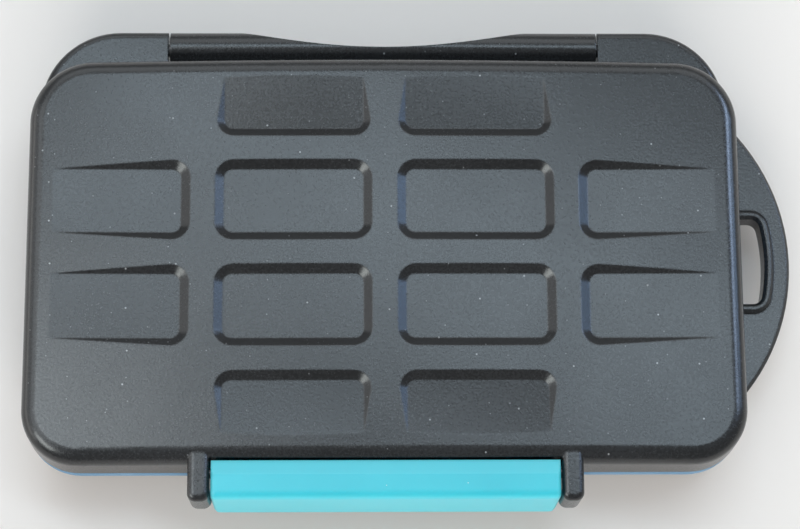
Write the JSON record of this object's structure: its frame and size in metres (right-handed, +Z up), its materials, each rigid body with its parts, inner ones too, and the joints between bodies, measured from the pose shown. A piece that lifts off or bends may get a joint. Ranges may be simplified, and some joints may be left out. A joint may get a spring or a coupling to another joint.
{
  "type": "memory card case",
  "caption": "Slim hinged hard case for memory cards, with a snap latch across the front, rubber card trays, a rim seal and a side loop for a lanyard.",
  "frame": {"origin": "on the flat underside of the base, below the middle of the lid", "axes": "+X towards the lanyard loop, +Y towards the hinge, +Z up out of the lid"},
  "size_m": [0.1199, 0.0771, 0.022],
  "materials": {
    "shell_plastic": "fine moulded texture, satin black",
    "seal_rubber": "smooth matt, sky blue",
    "tray_rubber": "smooth matt, sky blue",
    "latch_plastic": "smooth satin, cyan",
    "pin_steel": "drawn wire"
  },
  "bodies": {
    "base": {"base_shell": "shell_plastic", "rim_seal": "seal_rubber", "base_card_tray": "tray_rubber", "hinge_pin_left": "pin_steel", "hinge_pin_right": "pin_steel"},
    "lid": {"lid_shell": "shell_plastic", "lid_card_tray": "tray_rubber", "latch_pin_left": "pin_steel", "latch_pin_right": "pin_steel"},
    "latch": {"latch": "latch_plastic"}
  },
  "joints": [
    {"name": "lid_hinge", "type": "hinge", "parent": "base", "child": "lid", "pos_m": [0, 0.03654, 0.011], "axis": [-1, 0, 0], "range_deg": [0, 180]},
    {"name": "latch_pivot", "type": "hinge", "parent": "lid", "child": "latch", "pos_m": [0, -0.03342, 0.0198], "axis": [-1, 0, 0], "range_deg": [0, 80]}
  ]
}
